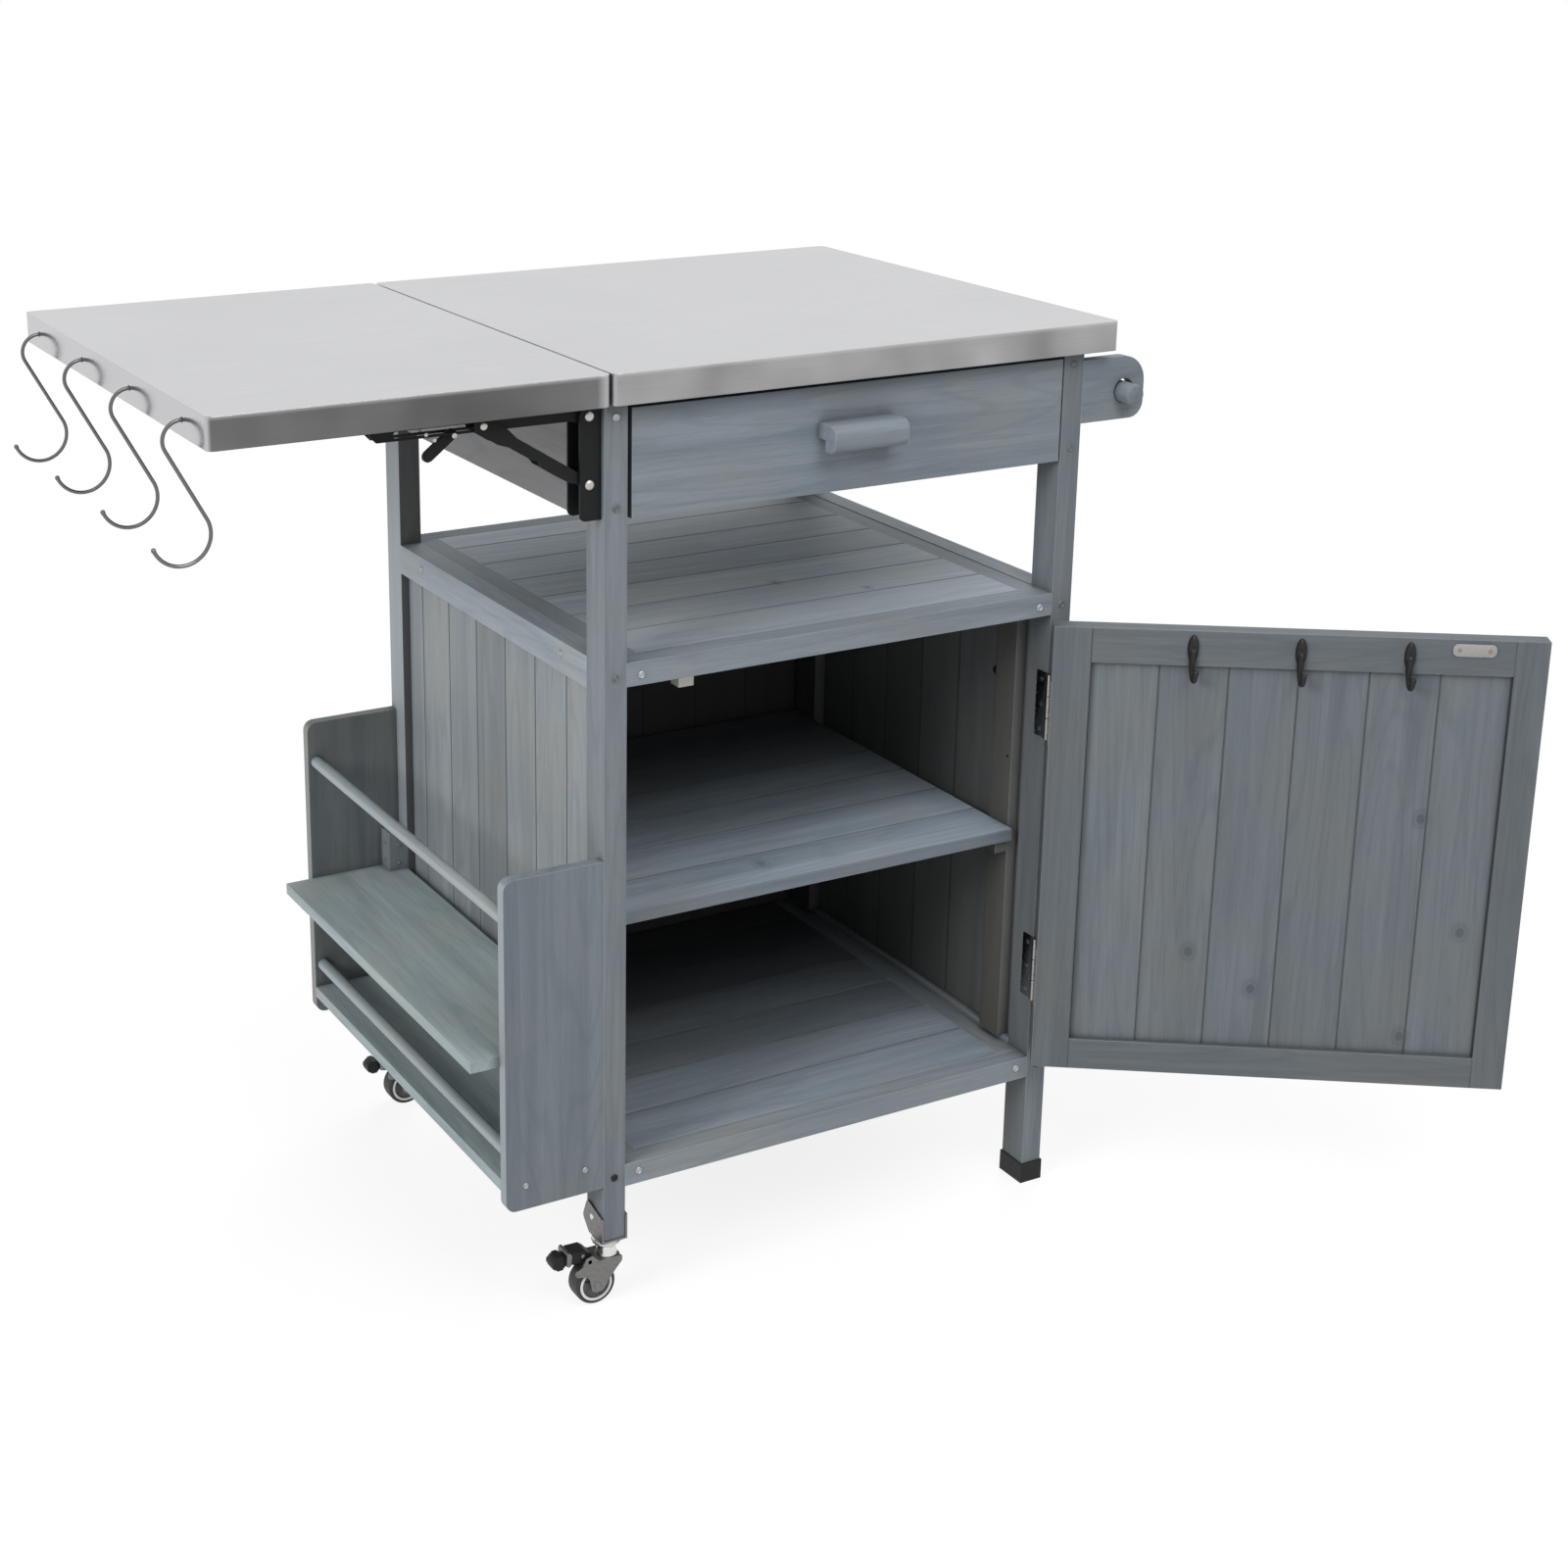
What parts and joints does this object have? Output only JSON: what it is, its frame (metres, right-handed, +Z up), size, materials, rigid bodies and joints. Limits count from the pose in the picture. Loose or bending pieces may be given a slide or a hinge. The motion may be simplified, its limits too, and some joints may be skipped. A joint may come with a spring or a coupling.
{
  "type": "grill cart with storage",
  "caption": "Grey wooden grill cart with a steel worktop, a folding side leaf with hooks, a drawer, an open bay, a cabinet, a side rack and a towel rod.",
  "frame": {"origin": "on the floor, under the middle of the cart's outline as it stands with the leaf up and the door open", "axes": "+X to the cart's right, away from the leaf; +Y to its back; +Z up"},
  "size_m": [1.2234, 0.758, 0.87],
  "materials": {
    "grey_wood": "satin, grey stain with the grain showing",
    "stainless": "fine brushed stainless sheet",
    "black_steel": "black powder coat",
    "plated_steel": "bright zinc or nickel plating",
    "core_board": "raw board",
    "tyre": "black rubber with a grey rim",
    "black_plastic": "moulded black plastic"
  },
  "bodies": {
    "cart": {"post_front_left": "grey_wood", "post_rear_left": "grey_wood", "post_front_right": "grey_wood", "post_rear_right": "grey_wood", "worktop_shell": "stainless", "worktop_core": "core_board", "side_aprons": "grey_wood", "rear_apron": "grey_wood", "drawer_runners": "grey_wood", "shelf_rails": "grey_wood", "shelf_battens": "grey_wood", "shelf_boards": "grey_wood", "side_rails": "grey_wood", "side_planks": "grey_wood", "back_planks": "grey_wood", "floor_rails": "grey_wood", "floor_battens": "grey_wood", "floor_boards": "grey_wood", "inner_uprights": "grey_wood", "mid_shelf_cleats": "grey_wood", "mid_shelf_boards": "grey_wood", "magnetic_catch": "black_plastic", "foot_caps": "black_plastic", "caster_sockets": "plated_steel", "rack_end_boards": "grey_wood", "rack_shelves": "grey_wood", "rack_dowels": "grey_wood", "rack_blocks": "grey_wood", "towel_brackets": "grey_wood", "bracket_uprights": "black_steel", "bracket_rivets": "plated_steel", "post_hinge_leaves": "black_steel", "frame_bolts": "plated_steel"},
    "drawer": {"drawer_front": "grey_wood", "drawer_box": "grey_wood", "drawer_bottom": "grey_wood", "drawer_handle": "grey_wood"},
    "door": {"door_frame": "grey_wood", "door_planks": "grey_wood", "door_hinge_leaves": "black_steel", "door_hooks": "black_steel", "door_strike_plate": "plated_steel", "door_handle": "grey_wood"},
    "leaf": {"leaf_shell": "stainless", "leaf_battens": "grey_wood", "bracket_arms": "black_steel"},
    "struts": {"bracket_struts": "black_steel"},
    "lever_front": {"bracket_lever_front": "black_steel"},
    "lever_rear": {"bracket_lever_rear": "black_steel"},
    "towel_rod": {"towel_rod": "grey_wood"},
    "hook_1": {"s_hook_1": "plated_steel"},
    "hook_2": {"s_hook_2": "plated_steel"},
    "hook_3": {"s_hook_3": "plated_steel"},
    "hook_4": {"s_hook_4": "plated_steel"},
    "caster_front": {"caster_fork_front": "plated_steel"},
    "wheel_front": {"caster_wheel_front": "tyre"},
    "pedal_front": {"brake_pedal_front": "black_plastic"},
    "caster_rear": {"caster_fork_rear": "plated_steel"},
    "wheel_rear": {"caster_wheel_rear": "tyre"},
    "pedal_rear": {"brake_pedal_rear": "black_plastic"}
  },
  "joints": [
    {"name": "door_hinge", "type": "hinge", "parent": "cart", "child": "door", "pos_m": [0.23431, -0.11029, 0.1415], "axis": [0, 0, 1], "range_deg": [-145.8, 30]},
    {"name": "drawer_slide", "type": "slide", "parent": "cart", "child": "drawer", "axis": [0, -1, 0], "range_m": [0, 0.3]},
    {"name": "towel_rod_slide", "type": "slide", "parent": "cart", "child": "towel_rod", "axis": [0, -1, 0], "range_m": [0, 0.2]},
    {"name": "leaf_fold", "type": "hinge", "parent": "cart", "child": "leaf", "pos_m": [-0.24794, 0.12501, 0.8326], "axis": [0, -1, 0], "range_deg": [0, 90]},
    {"name": "strut_fold", "type": "hinge", "parent": "cart", "child": "struts", "pos_m": [-0.24794, 0.12501, 0.7743], "axis": [0, -1, 0], "range_deg": [0, 122.4]},
    {"name": "lever_front_pivot", "type": "hinge", "parent": "leaf", "child": "lever_front", "pos_m": [-0.36724, -0.08999, 0.8279], "axis": [0, -1, 0], "range_deg": [-38.5, 0]},
    {"name": "lever_rear_pivot", "type": "hinge", "parent": "leaf", "child": "lever_rear", "pos_m": [-0.36724, 0.34001, 0.8279], "axis": [0, -1, 0], "range_deg": [-38.5, 0]},
    {"name": "hook_1_swing", "type": "hinge", "parent": "leaf", "child": "hook_1", "pos_m": [-0.58234, -0.06299, 0.8405], "axis": [0, -1, 0], "range_deg": [-97.5, 0]},
    {"name": "hook_2_swing", "type": "hinge", "parent": "leaf", "child": "hook_2", "pos_m": [-0.58234, 0.06918, 0.8405], "axis": [0, -1, 0], "range_deg": [-97.5, 0]},
    {"name": "hook_3_swing", "type": "hinge", "parent": "leaf", "child": "hook_3", "pos_m": [-0.58234, 0.20135, 0.8405], "axis": [0, -1, 0], "range_deg": [-97.5, 0]},
    {"name": "hook_4_swing", "type": "hinge", "parent": "leaf", "child": "hook_4", "pos_m": [-0.58234, 0.33351, 0.8405], "axis": [0, -1, 0], "range_deg": [-97.5, 0]},
    {"name": "caster_front_swivel", "type": "hinge", "parent": "cart", "child": "caster_front", "pos_m": [-0.22594, -0.09099, 0.064], "axis": [0, 0, 1], "continuous": true},
    {"name": "wheel_front_spin", "type": "hinge", "parent": "caster_front", "child": "wheel_front", "pos_m": [-0.24094, -0.09099, 0.02], "axis": [0, 1, 0], "continuous": true},
    {"name": "pedal_front_press", "type": "hinge", "parent": "caster_front", "child": "pedal_front", "pos_m": [-0.24894, -0.09099, 0.047], "axis": [0, -1, 0], "range_deg": [0, 10]},
    {"name": "caster_rear_swivel", "type": "hinge", "parent": "cart", "child": "caster_rear", "pos_m": [-0.22594, 0.34101, 0.064], "axis": [0, 0, 1], "continuous": true},
    {"name": "wheel_rear_spin", "type": "hinge", "parent": "caster_rear", "child": "wheel_rear", "pos_m": [-0.24094, 0.34101, 0.02], "axis": [0, 1, 0], "continuous": true},
    {"name": "pedal_rear_press", "type": "hinge", "parent": "caster_rear", "child": "pedal_rear", "pos_m": [-0.24894, 0.34101, 0.047], "axis": [0, -1, 0], "range_deg": [0, 10]}
  ],
  "couplings": [
    {"joint": "strut_fold", "follows": "leaf_fold", "ratio": 1.3563},
    {"joint": "lever_front_pivot", "follows": "leaf_fold", "ratio": -0.42},
    {"joint": "lever_rear_pivot", "follows": "leaf_fold", "ratio": -0.42},
    {"joint": "hook_1_swing", "follows": "leaf_fold", "ratio": -1.08},
    {"joint": "hook_2_swing", "follows": "leaf_fold", "ratio": -1.08},
    {"joint": "hook_3_swing", "follows": "leaf_fold", "ratio": -1.08},
    {"joint": "hook_4_swing", "follows": "leaf_fold", "ratio": -1.08}
  ]
}
